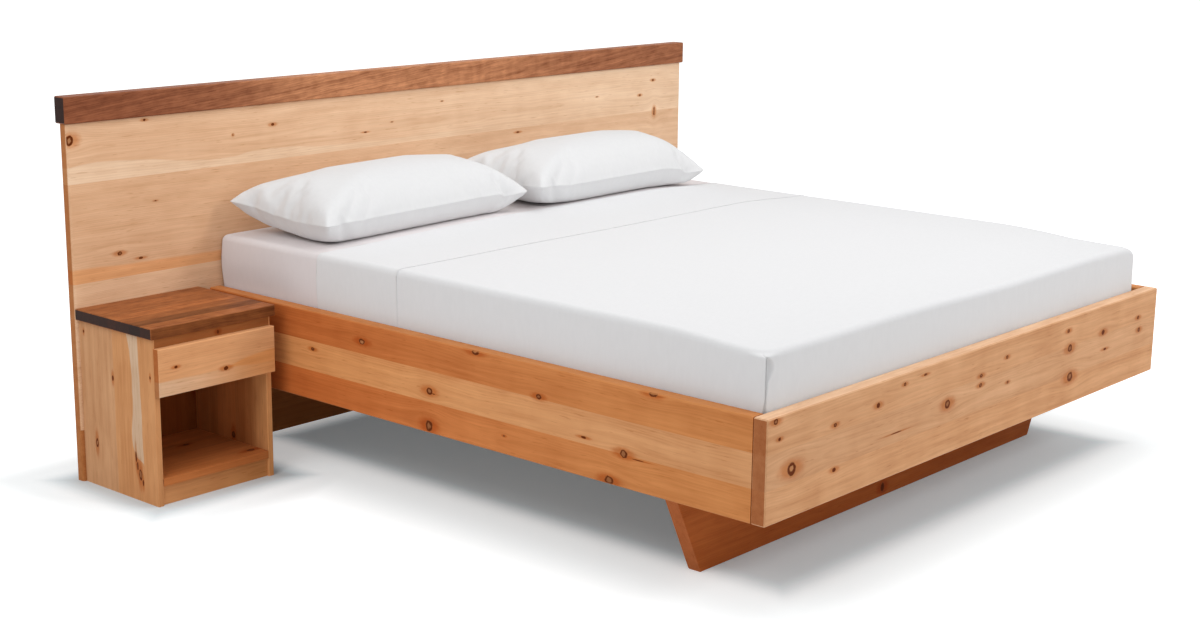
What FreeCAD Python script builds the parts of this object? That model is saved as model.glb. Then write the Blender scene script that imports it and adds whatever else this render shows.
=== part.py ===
"""Platform bed in knotty softwood: walnut-capped headboard, bedside cabinet with a drawer, bedding.

Millimetres. The origin is at the middle of the object's footprint, on the floor.
+X runs along the headboard, to the right seen from the foot; +Y runs from foot to head; +Z is up.
"""
import FreeCAD, Part
import math
import os

# Mattress and the well that it lies in
mattress_width = 1930.0
mattress_length = 2030.0
mattress_height = 250.0
mattress_gap = 5.0
mattress_recess = 92.0
mattress_corner_radius = 55.0
mattress_edge_radius = 42.0

# Rails and footboard, glued up from strips
rail_thickness = 42.0
rail_height = 262.0
rail_clearance = 240.0
footboard_thickness = 42.0
edge_ease = 3.0

# Headboard
headboard_thickness = 32.0
headboard_board_heights = (153.0, 188.0, 239.0, 285.0, 171.0)
headboard_end_round = 9.0
wing_right = 211.0
cap_height = 76.0
cap_overhang = 9.0
cap_end_overhang = 6.0
cap_groove_depth = 8.0

# Leg board under the foot of the bed
leg_setback = 320.0
leg_thickness = 40.0
leg_foot_inset = 174.0
leg_end_slant_degrees = 25.6
leg_side_clearance = 2.0
cleat_size = 40.0
cleat_height = 100.0

# Slatted base
slat_count = 12
slat_width = 100.0
slat_thickness = 20.0
slat_end_clearance = 3.0
slat_ease = 2.0
ledger_width = 30.0
ledger_height = 40.0
beam_width = 60.0
beam_height = 90.0
hanger_plate = 3.0
hanger_height = 60.0
hanger_depth = 40.0
hanger_clearance = 0.3
post_top_width = 58.0
post_foot_width = 44.0
glide_diameter = 36.0
glide_height = 8.0

# Steel corner brackets
bracket_leg = 60.0
bracket_plate = 4.0
bracket_height = 90.0

# Bedside cabinet
cabinet_inset = 11.0
cabinet_bed_gap = 54.0
cabinet_width = 406.0
cabinet_depth = 348.0
cabinet_height = 512.0
cabinet_top_thickness = 32.0
cabinet_top_overhang = 11.0
cabinet_side_thickness = 19.0
cabinet_back_thickness = 8.0
shelf_height = 78.0
shelf_thickness = 22.0
housing_depth = 6.0
housing_stop = 15.0
kickboard_thickness = 18.0
kickboard_recess = 8.0
divider_thickness = 18.0
top_rail_height = 30.0
top_rail_depth = 50.0
top_rail_end_cover = 6.0
panel_ease = 2.0

# Drawer
drawer_front_height = 135.0
drawer_front_thickness = 21.7
drawer_front_margin = 2.0
drawer_finger_gap = 27.0
drawer_front_lap = 4.0
drawer_closed_gap = 0.3
drawer_side_thickness = 12.0
drawer_side_height = 100.0
drawer_side_clearance = 1.5
drawer_slide_gap = 0.3
drawer_back_gap = 12.0
drawer_bottom_thickness = 6.0
drawer_bottom_rise = 8.0
drawer_groove_depth = 5.0
drawer_stop_width = 40.0
drawer_stop_thickness = 12.0
drawer_stop_lap = 16.0
kicker_width = 14.0
kicker_height = 12.0
kicker_gap = 1.0

# Bedding
cloth_thickness = 1.0
cloth_gap = 0.3
fitted_sheet_hem = 6.0
flat_sheet_tuck = 60.0
cuff_fold_from_head = 375.0
cuff_width = 405.0
pillow_width = 880.0
pillow_depth = 440.0
pillow_height = 196.0
pillow_seam_height = 8.0
pillow_seam_share = 0.4
pillow_draw_in = 34.0
pillow_end_fullness = 2.6
pillow_half_sections = 10
pillow_tilt_degrees = 4.0
pillow_gap_from_headboard = 26.0
pillow_left_offset = -482.0
pillow_right_offset = 446.0

# Levels above the floor
rail_bottom = rail_clearance
rail_top = rail_bottom + rail_height
slat_top = rail_top - mattress_recess
slat_bottom = slat_top - slat_thickness
ledger_bottom = slat_bottom - ledger_height
beam_bottom = slat_bottom - beam_height
mattress_top = slat_top + mattress_height
headboard_height = sum(headboard_board_heights)

# Lines along the bed, from foot to head
well_length = mattress_length + 2 * mattress_gap
bed_depth = footboard_thickness + well_length + headboard_thickness + cap_overhang
foot_face = -bed_depth / 2
foot_inner = foot_face + footboard_thickness
head_face = foot_inner + well_length
head_back = head_face + headboard_thickness

# Lines across the bed
well_width = mattress_width + 2 * mattress_gap
bed_width = well_width + 2 * rail_thickness
wing_left = cabinet_inset + cabinet_width + cabinet_bed_gap
bed_centre = (wing_left - wing_right) / 2
bed_left = bed_centre - bed_width / 2
bed_right = bed_centre + bed_width / 2
well_left = bed_left + rail_thickness
well_right = bed_right - rail_thickness
headboard_left = bed_left - wing_left
headboard_right = bed_right + wing_right

nodes = {}


def add(name, shape):
    """Keep one named piece, after a test that it is a sound solid."""
    if not shape.isValid() or shape.Volume <= 0:
        raise ValueError(name + " is not a sound solid")
    nodes[name] = shape


def block(x_range, y_range, z_range):
    """A box between two limits on each axis."""
    size = [high - low for low, high in (x_range, y_range, z_range)]
    corner = FreeCAD.Vector(x_range[0], y_range[0], z_range[0])
    return Part.makeBox(size[0], size[1], size[2], corner)


def edges(shape, along, **place):
    """Straight edges that run along one axis, at the given places on the other axes."""
    found = []
    for edge in shape.Edges:
        start, end = edge.Vertexes[0].Point, edge.Vertexes[-1].Point
        run = end - start
        middle = (start + end) * 0.5
        straight = abs(getattr(run, along)) > 0.999 * run.Length
        if straight and all(abs(getattr(middle, axis) - value) < 0.01 for axis, value in place.items()):
            found.append(edge)
    return found


def eased(shape, size, *groups):
    """The shape with the edges of all groups chamfered."""
    return shape.makeChamfer(size, [edge for group in groups for edge in group])


def eased_all_round(shape, size):
    """The shape with every edge chamfered."""
    return shape.makeChamfer(size, shape.Edges)


def strip_levels():
    """Name and height range of the three strips that a rail is glued up from."""
    step = rail_height / 3
    names = ("lower", "middle", "upper")
    return [(name, rail_bottom + i * step, rail_bottom + (i + 1) * step) for i, name in enumerate(names)]


def make_headboard():
    """Edge-glued boards down to the floor, and the cap whose groove takes their top edge."""
    x_range, y_range = (headboard_left, headboard_right), (head_face, head_back)
    bottom = 0
    for number, height in enumerate(headboard_board_heights, 1):
        in_groove = cap_groove_depth if number == len(headboard_board_heights) else 0
        board = block(x_range, y_range, (bottom, bottom + height + in_groove))
        add("headboard_board_%d" % number, board.makeFillet(headboard_end_round, edges(board, "z")))
        bottom += height
    cap = block((headboard_left - cap_end_overhang, headboard_right + cap_end_overhang),
                (head_face - cap_overhang, head_back + cap_overhang),
                (headboard_height, headboard_height + cap_height))
    top_board = nodes["headboard_board_%d" % len(headboard_board_heights)]
    add("headboard_cap", eased_all_round(cap, edge_ease).cut(top_board))


def make_rails():
    """Two side rails of three strips each, between the footboard and the headboard."""
    for side, x_range in (("left", (bed_left, well_left)), ("right", (well_right, bed_right))):
        for name, low, high in strip_levels():
            strip = block(x_range, (foot_inner, head_face), (low, high))
            if name != "middle":
                outer = low if name == "lower" else high
                strip = eased(strip, edge_ease, edges(strip, "y", z=outer))
            add("rail_%s_%s" % (side, name), strip)


def make_footboard():
    """Three strips that lap over the ends of both rails."""
    for name, low, high in strip_levels():
        strip = block((bed_left, bed_right), (foot_face, foot_inner), (low, high))
        groups = [edges(strip, "z", x=bed_left), edges(strip, "z", x=bed_right)]
        if name != "middle":
            outer = low if name == "lower" else high
            groups += [edges(strip, "x", z=outer), edges(strip, "y", z=outer)]
        add("footboard_" + name, eased(strip, edge_ease, *groups))


def make_leg_board():
    """A wide board with slanted ends, notched for the beam, and two cleats that tie it to the rails."""
    y_range = (foot_face + leg_setback, foot_face + leg_setback + leg_thickness)
    foot_half = bed_width / 2 - leg_foot_inset
    top_half = foot_half + ledger_bottom * math.tan(math.radians(leg_end_slant_degrees))
    corners = [(-foot_half, 0), (foot_half, 0), (top_half, ledger_bottom), (-top_half, ledger_bottom)]
    outline = [FreeCAD.Vector(bed_centre + x, y_range[0], z) for x, z in corners]
    face = Part.Face(Part.makePolygon(outline + outline[:1]))
    board = face.extrude(FreeCAD.Vector(0, leg_thickness, 0))
    between_rails = block((well_left + leg_side_clearance, well_right - leg_side_clearance), y_range,
                          (0, ledger_bottom))
    board = board.common(between_rails)
    board = eased(board, panel_ease, edges(board, "x", z=0))
    notch = block((bed_centre - beam_width / 2, bed_centre + beam_width / 2), y_range,
                  (beam_bottom, ledger_bottom))
    add("leg_board", board.cut(notch))
    behind = (y_range[1], y_range[1] + cleat_size)
    levels = (ledger_bottom - cleat_height, ledger_bottom)
    add("leg_cleat_left", block((well_left, well_left + cleat_size), behind, levels))
    add("leg_cleat_right", block((well_right - cleat_size, well_right), behind, levels))


def make_slatted_base():
    """Ledgers on the rails, a centre beam in steel hangers, its post, and the slats over them."""
    levels = (ledger_bottom, slat_bottom)
    add("ledger_left", block((well_left, well_left + ledger_width), (foot_inner, head_face), levels))
    add("ledger_right", block((well_right - ledger_width, well_right), (foot_inner, head_face), levels))

    beam_x = (bed_centre - beam_width / 2, bed_centre + beam_width / 2)
    beam_y = (foot_inner + hanger_plate, head_face - hanger_plate)
    beam = block(beam_x, beam_y, (beam_bottom, slat_bottom))
    add("centre_beam", beam)
    hanger_x = (beam_x[0] - hanger_clearance - hanger_plate, beam_x[1] + hanger_clearance + hanger_plate)
    hanger_z = (beam_bottom - hanger_plate, beam_bottom - hanger_plate + hanger_height)
    pocket_x = (beam_x[0] - hanger_clearance, beam_x[1] + hanger_clearance)
    pocket = block(pocket_x, beam_y, (beam_bottom, slat_bottom))
    foot_hanger = block(hanger_x, (foot_inner, foot_inner + hanger_depth), hanger_z).cut(pocket)
    head_hanger = block(hanger_x, (head_face - hanger_depth, head_face), hanger_z).cut(pocket)
    add("beam_hangers", Part.makeCompound([foot_hanger, head_hanger]))

    leg_back = foot_face + leg_setback + leg_thickness
    post_y = (leg_back + head_face) / 2
    squares = []
    for width, z in ((post_foot_width, glide_height), (post_top_width, beam_bottom)):
        half = width / 2
        signs = ((-1, -1), (1, -1), (1, 1), (-1, 1), (-1, -1))
        corners = [FreeCAD.Vector(bed_centre + half * i, post_y + half * j, z) for i, j in signs]
        squares.append(Part.makePolygon(corners))
    add("centre_leg", Part.makeLoft(squares, True, True))
    add("centre_leg_glide", Part.makeCylinder(glide_diameter / 2, glide_height,
                                              FreeCAD.Vector(bed_centre, post_y, 0)))

    pitch = well_length / slat_count
    slat_x = (well_left + slat_end_clearance, well_right - slat_end_clearance)
    for i in range(slat_count):
        middle = foot_inner + (i + 0.5) * pitch
        slat = block(slat_x, (middle - slat_width / 2, middle + slat_width / 2), (slat_bottom, slat_top))
        add("slat_%02d" % (i + 1), eased(slat, slat_ease, edges(slat, "x")))


def make_fittings():
    """Steel angle brackets in the four inner corners, which tie the rails to the foot and the headboard."""
    middle = (rail_bottom + ledger_bottom) / 2
    levels = (middle - bracket_height / 2, middle + bracket_height / 2)
    brackets = []
    for x, inward in ((well_left, 1), (well_right, -1)):
        for y, along in ((foot_inner, 1), (head_face, -1)):
            cross_plate = block(sorted((x, x + inward * bracket_leg)),
                                sorted((y, y + along * bracket_plate)), levels)
            rail_plate = block(sorted((x, x + inward * bracket_plate)),
                               sorted((y, y + along * bracket_leg)), levels)
            brackets.append(cross_plate.fuse(rail_plate).removeSplitter())
    add("corner_brackets", Part.makeCompound(brackets))


def cabinet_lines():
    """Left, right, front and back planes of the cabinet's carcass, and its inner walls."""
    left = headboard_left + cabinet_inset
    right = left + cabinet_width
    front = head_face - cabinet_depth
    return left, right, front, left + cabinet_side_thickness, right - cabinet_side_thickness


def drawer_levels():
    """Lower and upper edge of the drawer front, the divider's top and the carcass's top."""
    carcass_top = cabinet_height - cabinet_top_thickness
    front_top = carcass_top - drawer_finger_gap
    front_bottom = front_top - drawer_front_height
    divider_top = front_bottom + drawer_front_lap + divider_thickness
    return front_bottom, front_top, divider_top, carcass_top


def housed_panel(x_range, y_range, z_range):
    """A level panel between the cabinet's sides, with its ends let into stopped housings in them."""
    ends = (x_range[0] - housing_depth, x_range[1] + housing_depth)
    let_in = block(ends, (y_range[0] + housing_stop, y_range[1]), z_range)
    return block(x_range, y_range, z_range).fuse(let_in).removeSplitter()


def make_cabinet():
    """Carcass of plain panels, open below the drawer, with a walnut top that overhangs it."""
    left, right, front, inner_left, inner_right = cabinet_lines()
    _, _, divider_top, carcass_top = drawer_levels()
    inside = (inner_left, inner_right)
    back_front = head_face - cabinet_back_thickness
    shelf_bottom = shelf_height - shelf_thickness
    shelf = housed_panel(inside, (front, back_front), (shelf_bottom, shelf_height))
    divider = housed_panel(inside, (front, back_front), (divider_top - divider_thickness, divider_top))
    rail_y = (front, front + top_rail_depth)
    top_rail = block((left + top_rail_end_cover, right - top_rail_end_cover), rail_y,
                     (carcass_top - top_rail_height, carcass_top))
    add("cabinet_shelf", shelf)
    add("cabinet_divider", divider)
    add("cabinet_top_rail", top_rail)
    for name, x_range in (("left", (left, inner_left)), ("right", (inner_right, right))):
        side = block(x_range, (front, head_face), (0, carcass_top))
        side = eased(side, panel_ease, edges(side, "z", y=front))
        add("cabinet_side_" + name, side.cut(shelf).cut(divider).cut(top_rail))
    add("cabinet_back", block(inside, (back_front, head_face), (shelf_bottom, carcass_top)))
    kick_y = (front + kickboard_recess, front + kickboard_recess + kickboard_thickness)
    add("cabinet_kickboard", block(inside, kick_y, (0, shelf_bottom)))
    top = block((left - cabinet_top_overhang, right + cabinet_top_overhang),
                (front - cabinet_top_overhang, head_face), (carcass_top, cabinet_height))
    add("cabinet_top", eased_all_round(top, panel_ease))

    kicker_bottom = divider_top + drawer_slide_gap + drawer_side_height + kicker_gap
    kicker_z = (kicker_bottom, kicker_bottom + kicker_height)
    kicker_y = (rail_y[1], back_front)
    kickers = [block((inner_left, inner_left + kicker_width), kicker_y, kicker_z),
               block((inner_right - kicker_width, inner_right), kicker_y, kicker_z)]
    add("drawer_kickers", Part.makeCompound(kickers))


def make_drawer():
    """A box that slides on the divider, behind an overlay front with no handle."""
    left, right, front, inner_left, inner_right = cabinet_lines()
    front_bottom, front_top, divider_top, carcass_top = drawer_levels()
    outer_left = inner_left + drawer_side_clearance
    outer_right = inner_right - drawer_side_clearance
    box_left = outer_left + drawer_side_thickness
    box_right = outer_right - drawer_side_thickness
    box_front = front - drawer_closed_gap
    back_outer = head_face - cabinet_back_thickness - drawer_back_gap
    back_inner = back_outer - drawer_side_thickness
    box_bottom = divider_top + drawer_slide_gap
    levels = (box_bottom, box_bottom + drawer_side_height)

    panel_x = (box_left - drawer_groove_depth, box_right + drawer_groove_depth)
    panel_y = (box_front - drawer_groove_depth, back_inner + drawer_groove_depth)
    panel_z = (box_bottom + drawer_bottom_rise, box_bottom + drawer_bottom_rise + drawer_bottom_thickness)
    panel = block(panel_x, panel_y, panel_z)
    add("drawer_bottom", panel)

    face = block((left + drawer_front_margin, right - drawer_front_margin),
                 (box_front - drawer_front_thickness, box_front), (front_bottom, front_top))
    face = eased(face, panel_ease, *[edges(face, axis, y=box_front - drawer_front_thickness) for axis in "xz"])
    add("drawer_front", face.cut(panel))
    for name, x_range in (("left", (outer_left, box_left)), ("right", (box_right, outer_right))):
        add("drawer_side_" + name, block(x_range, (box_front, back_outer), levels).cut(panel))
    add("drawer_back", block((box_left, box_right), (back_inner, back_outer), levels).cut(panel))

    middle = (box_left + box_right) / 2
    stop_x = (middle - drawer_stop_width / 2, middle + drawer_stop_width / 2)
    stop_z = (panel_z[1], carcass_top - top_rail_height + drawer_stop_lap)
    add("drawer_stop", block(stop_x, (back_inner - drawer_stop_thickness, back_inner), stop_z))


def mattress_form(grow):
    """The mattress's rounded block, grown by the same amount on every side."""
    x_range = (bed_centre - mattress_width / 2 - grow, bed_centre + mattress_width / 2 + grow)
    y_range = (foot_inner + mattress_gap - grow, head_face - mattress_gap + grow)
    form = block(x_range, y_range, (slat_top - grow, mattress_top + grow))
    form = form.makeFillet(mattress_corner_radius + grow, edges(form, "z"))
    rims = [edge for edge in form.Edges if abs(edge.BoundBox.ZLength) < 0.01]
    return form.makeFillet(mattress_edge_radius + grow, rims)


def cloth_skin(inner, outer, y_range, low):
    """The skin between two grown mattress forms, over a stretch of the bed and above a level."""
    reach = mattress_top - low + mattress_height
    window = block((bed_left, bed_right), y_range, (low, low + reach))
    return mattress_form(outer).common(window).cut(mattress_form(inner))


def make_bedding():
    """Mattress, fitted sheet, and a flat sheet whose head end is turned down as a cuff."""
    add("mattress", mattress_form(0))
    whole = (foot_face, head_back)
    fitted_outer = cloth_gap + cloth_thickness
    add("fitted_sheet", cloth_skin(cloth_gap, fitted_outer, whole, slat_top + fitted_sheet_hem))
    flat_inner = fitted_outer + cloth_gap
    flat_outer = flat_inner + cloth_thickness
    fold = head_face - cuff_fold_from_head
    tuck = rail_top - flat_sheet_tuck
    sheet = cloth_skin(flat_inner, flat_outer, (foot_face, fold), tuck)
    cuff = cloth_skin(flat_outer, flat_outer + cloth_thickness, (fold - cuff_width, fold), tuck)
    add("flat_sheet", sheet.fuse(cuff).removeSplitter())
    return mattress_top + fitted_outer


def pillow_section(x, depth, height):
    """A lens of two arcs, joined by the seam's short upright lines at the front and the back."""
    seam = pillow_seam_height / 2
    rise = height * (1 - pillow_seam_share)
    fall = height * pillow_seam_share
    half = depth / 2
    front_low, front_high = FreeCAD.Vector(x, -half, -seam), FreeCAD.Vector(x, -half, seam)
    back_low, back_high = FreeCAD.Vector(x, half, -seam), FreeCAD.Vector(x, half, seam)
    crown = Part.Arc(front_high, FreeCAD.Vector(x, 0, max(rise, 2 * seam)), back_high).toShape()
    belly = Part.Arc(back_low, FreeCAD.Vector(x, 0, -max(fall, 2 * seam)), front_low).toShape()
    upright_back = Part.makeLine(back_high, back_low)
    upright_front = Part.makeLine(front_low, front_high)
    return Part.Wire([crown, upright_back, belly, upright_front])


def pillow_form():
    """A plump pillow about its own middle: full crown, long sides drawn in between the corners."""
    sections = []
    for step in range(-pillow_half_sections, pillow_half_sections + 1):
        station = math.sin(math.pi / 2 * step / pillow_half_sections)
        depth = pillow_depth - pillow_draw_in * (1 - station ** 2)
        height = pillow_height * math.sqrt(1 - abs(station) ** pillow_end_fullness)
        sections.append(pillow_section(station * pillow_width / 2, depth, height))
    return Part.makeLoft(sections, True, True)


def make_pillows(rest_level):
    """Two pillows side by side against the headboard, tipped up a little at the back."""
    form = pillow_form()
    form.rotate(FreeCAD.Vector(0, 0, 0), FreeCAD.Vector(1, 0, 0), pillow_tilt_degrees)
    box = form.optimalBoundingBox(False)
    middle = head_face - pillow_gap_from_headboard - box.YMax
    lift = rest_level + cloth_gap - box.ZMin
    for name, offset in (("left", pillow_left_offset), ("right", pillow_right_offset)):
        add("pillow_" + name, form.translated(FreeCAD.Vector(bed_centre + offset, middle, lift)))


def main():
    """Make every piece and write one file for each."""
    make_headboard()
    make_rails()
    make_footboard()
    make_leg_board()
    make_slatted_base()
    make_fittings()
    make_cabinet()
    make_drawer()
    make_pillows(make_bedding())
    os.makedirs("parts", exist_ok=True)
    for name, shape in nodes.items():
        shape.exportStep(os.path.join("parts", name + ".step"))


main()
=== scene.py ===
"""Finishes the platform bed: its boards, its cabinet, its bedding and a plain studio round it."""

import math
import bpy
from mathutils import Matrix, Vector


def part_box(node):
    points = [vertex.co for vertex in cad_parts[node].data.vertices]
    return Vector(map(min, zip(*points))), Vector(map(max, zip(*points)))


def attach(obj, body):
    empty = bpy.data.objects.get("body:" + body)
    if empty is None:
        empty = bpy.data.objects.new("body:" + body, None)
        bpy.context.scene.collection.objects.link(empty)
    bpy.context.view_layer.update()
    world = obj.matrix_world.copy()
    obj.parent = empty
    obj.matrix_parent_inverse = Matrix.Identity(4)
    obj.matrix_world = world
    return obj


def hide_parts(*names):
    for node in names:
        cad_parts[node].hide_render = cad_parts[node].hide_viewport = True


bl_info = {
    "name": "Platform bed finish",
    "version": (1, 0, 0),
    "blender": (4, 5, 0),
    "location": "View3D > Sidebar > Bed",
    "description": "Gives the boards their grain and knots and makes the bedding",
    "category": "Object",
}

from functools import partialmethod

import bmesh
import bpy
from bpy.props import FloatProperty, FloatVectorProperty, IntProperty, PointerProperty
from mathutils import Matrix, Vector, noise

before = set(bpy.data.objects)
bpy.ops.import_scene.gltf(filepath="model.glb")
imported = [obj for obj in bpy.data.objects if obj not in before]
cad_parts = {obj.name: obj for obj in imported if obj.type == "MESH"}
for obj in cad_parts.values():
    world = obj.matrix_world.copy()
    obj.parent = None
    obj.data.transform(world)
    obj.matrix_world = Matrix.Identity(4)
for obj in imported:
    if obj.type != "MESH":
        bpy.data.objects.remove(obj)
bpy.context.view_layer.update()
mattress_low, mattress_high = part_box("mattress")

# Roundings of the mattress, and where along the bed the flat sheet turns back and its cuff ends
CORNER_ROUND = 0.055
EDGE_ROUND = 0.018
FOLD = 0.6455
HEM = 0.2405

# How far out of the mattress each layer of cloth lies, and the heights of the sheets' lower edges
FITTED_OUT = 0.0006
SHEET_OUT = 0.0020
CUFF_OUT = 0.0031
FITTED_EDGE = 0.416
SHEET_EDGE = 0.442

# How close a point has to be to count as on a line or on a seam
ON_LINE = 1e-5

# How far a board's colour is calmed and dimmed in the light that it throws on other things
CAST_CALM = -0.35
CAST_DIM = -0.1

# Shine of the knotty boards and of the walnut
SOFTWOOD_SHINE = 0.035
WALNUT_SHINE = 0.11


# Settings

class BedWoodSettings(bpy.types.PropertyGroup):
    """Colours and grain of the boards."""

    cream: FloatVectorProperty(
        name="Cream", description="Sapwood of the knotty boards", subtype="COLOR",
        default=(0.95, 0.69, 0.475), min=0.0, max=1.0)
    honey: FloatVectorProperty(
        name="Honey", description="Pale heartwood of the knotty boards", subtype="COLOR",
        default=(0.8, 0.46, 0.26), min=0.0, max=1.0)
    orange: FloatVectorProperty(
        name="Orange", description="Warm heartwood of the knotty boards", subtype="COLOR",
        default=(0.88, 0.38, 0.135), min=0.0, max=1.0)
    amber: FloatVectorProperty(
        name="Amber", description="Dark heartwood of the knotty boards", subtype="COLOR",
        default=(0.66, 0.25, 0.08), min=0.0, max=1.0)
    russet: FloatVectorProperty(
        name="Russet", description="Reddest boards, as in the leg", subtype="COLOR",
        default=(0.53, 0.132, 0.03), min=0.0, max=1.0)
    knot_heart: FloatVectorProperty(
        name="Knot heart", description="Wood inside a knot", subtype="COLOR",
        default=(0.60, 0.28, 0.12), min=0.0, max=1.0)
    knot_rim: FloatVectorProperty(
        name="Knot rim", description="Dark bark ring round a knot", subtype="COLOR",
        default=(0.14, 0.027, 0.004), min=0.0, max=1.0)
    walnut: FloatVectorProperty(
        name="Walnut", description="Cap and cabinet top", subtype="COLOR",
        default=(0.25, 0.076, 0.032), min=0.0, max=1.0)
    walnut_pale: FloatVectorProperty(
        name="Pale walnut", description="Lighter parts of the cap and cabinet top", subtype="COLOR",
        default=(0.555, 0.235, 0.108), min=0.0, max=1.0)
    walnut_end: FloatVectorProperty(
        name="Walnut end", description="How far the end grain of the walnut is darkened", subtype="COLOR",
        default=(0.075, 0.053, 0.042), min=0.0, max=1.0)
    ring_width: FloatProperty(
        name="Ring width", description="One year's growth", subtype="DISTANCE",
        default=0.0042, min=0.001, max=0.02)


class BedLinenSettings(bpy.types.PropertyGroup):
    """Sizes and colours of the bedding."""

    linen: FloatVectorProperty(
        name="Linen", description="Colour of the sheets", subtype="COLOR",
        default=(0.83, 0.83, 0.84), min=0.0, max=1.0)
    fitted: FloatVectorProperty(
        name="Fitted linen", description="Cloth of the fitted sheet", subtype="COLOR",
        default=(0.84, 0.79, 0.795), min=0.0, max=1.0)
    pillow_linen: FloatVectorProperty(
        name="Pillow linen", description="Colour of the pillow cases", subtype="COLOR",
        default=(0.80, 0.80, 0.805), min=0.0, max=1.0)
    ticking: FloatVectorProperty(
        name="Ticking", description="Colour of the mattress cover", subtype="COLOR",
        default=(0.74, 0.71, 0.65), min=0.0, max=1.0)
    thread_spacing: FloatProperty(
        name="Thread spacing", description="From one thread to the next", subtype="DISTANCE",
        default=0.0006, min=0.0002, max=0.005)
    pillow_width: FloatProperty(
        name="Pillow width", description="Flat width of the pillow case", subtype="DISTANCE",
        default=0.925, min=0.3, max=1.5)
    pillow_depth: FloatProperty(
        name="Pillow depth", description="Flat depth of the pillow case", subtype="DISTANCE",
        default=0.50, min=0.2, max=1.0)
    pillow_cells: IntProperty(
        name="Pillow cells", description="Cells of the pillow mesh across its depth",
        default=36, min=8, max=80)
    sheet_thickness: FloatProperty(
        name="Sheet thickness", description="Thickness of the woven sheets", subtype="DISTANCE",
        default=0.0007, min=0.0002, max=0.003)
    cell: FloatProperty(
        name="Sheet cell", description="Cells of the sheet meshes", subtype="DISTANCE",
        default=0.028, min=0.01, max=0.1)


class BedStageSettings(bpy.types.PropertyGroup):
    """Camera, floor and lamps."""

    camera_place: FloatVectorProperty(
        name="Camera place", description="Where the camera stands", subtype="TRANSLATION",
        default=(-4.2824, -3.5214, 1.7127))
    camera_yaw: FloatProperty(
        name="Camera yaw", description="Heading of the view from the X axis", subtype="ANGLE",
        default=math.radians(41.212))
    camera_pitch: FloatProperty(
        name="Camera pitch", description="How far the view looks down", subtype="ANGLE",
        default=math.radians(12.95))
    camera_roll: FloatProperty(
        name="Camera roll", description="Lean of the camera", subtype="ANGLE",
        default=math.radians(0.66))
    lens: FloatProperty(
        name="Lens", description="Focal length in millimetres", default=56.53, min=10.0, max=300.0)
    floor: FloatVectorProperty(
        name="Floor", description="Colour of the floor in its light on the bed", subtype="COLOR",
        default=(0.86, 0.86, 0.86), min=0.0, max=1.0)
    floor_seen: FloatVectorProperty(
        name="Floor seen", description="Colour of the floor in view, cooled against the wood's warm light",
        subtype="COLOR", default=(0.79, 0.84, 0.86), min=0.0, max=1.0)
    sky: FloatProperty(
        name="Sky", description="Level of the light from all round", default=0.48, min=0.0, max=4.0)
    overhead: FloatProperty(
        name="Overhead", description="Power of the broad lamp overhead", subtype="POWER",
        default=41.0, min=0.0)
    side: FloatProperty(
        name="Side", description="Power of the lamp on the left", subtype="POWER", default=31.0, min=0.0)
    front: FloatProperty(
        name="Front", description="Power of the lamp before the foot", subtype="POWER",
        default=120.0, min=0.0)


# Node trees

class Nodes:
    """Places nodes in one tree and links them as they are made."""

    def __init__(self, tree):
        self.tree = tree

    def feed(self, socket, value):
        """Links a socket to a socket, or sets it to a value."""
        if isinstance(value, bpy.types.NodeSocket):
            self.tree.links.new(value, socket)
        else:
            socket.default_value = value

    def add(self, kind, inputs=None, **settings):
        """One node with its settings, and its inputs by name or number."""
        node = self.tree.nodes.new(kind)
        for name, value in settings.items():
            setattr(node, name, value)
        for name, value in (inputs or {}).items():
            self.feed(node.inputs[name], value)
        return node

    def place(self, group, inputs):
        """One node that holds a shared group."""
        return self.add("ShaderNodeGroup", inputs, node_tree=group)

    def math(self, operation, first, second=0.0, third=0.0):
        """The result of a Math node."""
        inputs = {0: first, 1: second, 2: third}
        return self.add("ShaderNodeMath", inputs, operation=operation).outputs[0]

    plus = partialmethod(math, "ADD")
    minus = partialmethod(math, "SUBTRACT")
    times = partialmethod(math, "MULTIPLY")
    over = partialmethod(math, "DIVIDE")
    times_plus = partialmethod(math, "MULTIPLY_ADD")
    largest = partialmethod(math, "MAXIMUM")
    size = partialmethod(math, "ABSOLUTE")

    def vector(self, operation, first, second=(0.0, 0.0, 0.0)):
        """The result of a Vector Math node."""
        node = self.add("ShaderNodeVectorMath", {0: first, 1: second}, operation=operation)
        return node.outputs["Value" if operation == "LENGTH" else "Vector"]

    def scale(self, vector, factor):
        """A vector or colour made larger or smaller."""
        node = self.add("ShaderNodeVectorMath", {0: vector, "Scale": factor}, operation="SCALE")
        return node.outputs["Vector"]

    def combine(self, x, y=0.0, z=0.0):
        """A vector of three values."""
        return self.add("ShaderNodeCombineXYZ", {"X": x, "Y": y, "Z": z}).outputs[0]

    def separate(self, vector):
        """The three values of a vector."""
        return self.add("ShaderNodeSeparateXYZ", {"Vector": vector}).outputs

    def noise(self, vector, scale, detail=2.0, roughness=0.5, output="Fac"):
        """Cloudy values round one half."""
        inputs = {"Vector": vector, "Scale": scale, "Detail": detail, "Roughness": roughness}
        return self.add("ShaderNodeTexNoise", inputs).outputs[output]

    def span(self, value, low, high, low_to=0.0, high_to=1.0):
        """A soft step from one value to another."""
        inputs = {"Value": value, "From Min": low, "From Max": high, "To Min": low_to, "To Max": high_to}
        return self.add("ShaderNodeMapRange", inputs, interpolation_type="SMOOTHSTEP").outputs["Result"]

    def mix(self, factor, first, second):
        """A mix of two colours."""
        return self.add("ShaderNodeMix", {0: factor, 6: first, 7: second}, data_type="RGBA").outputs[2]


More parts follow.
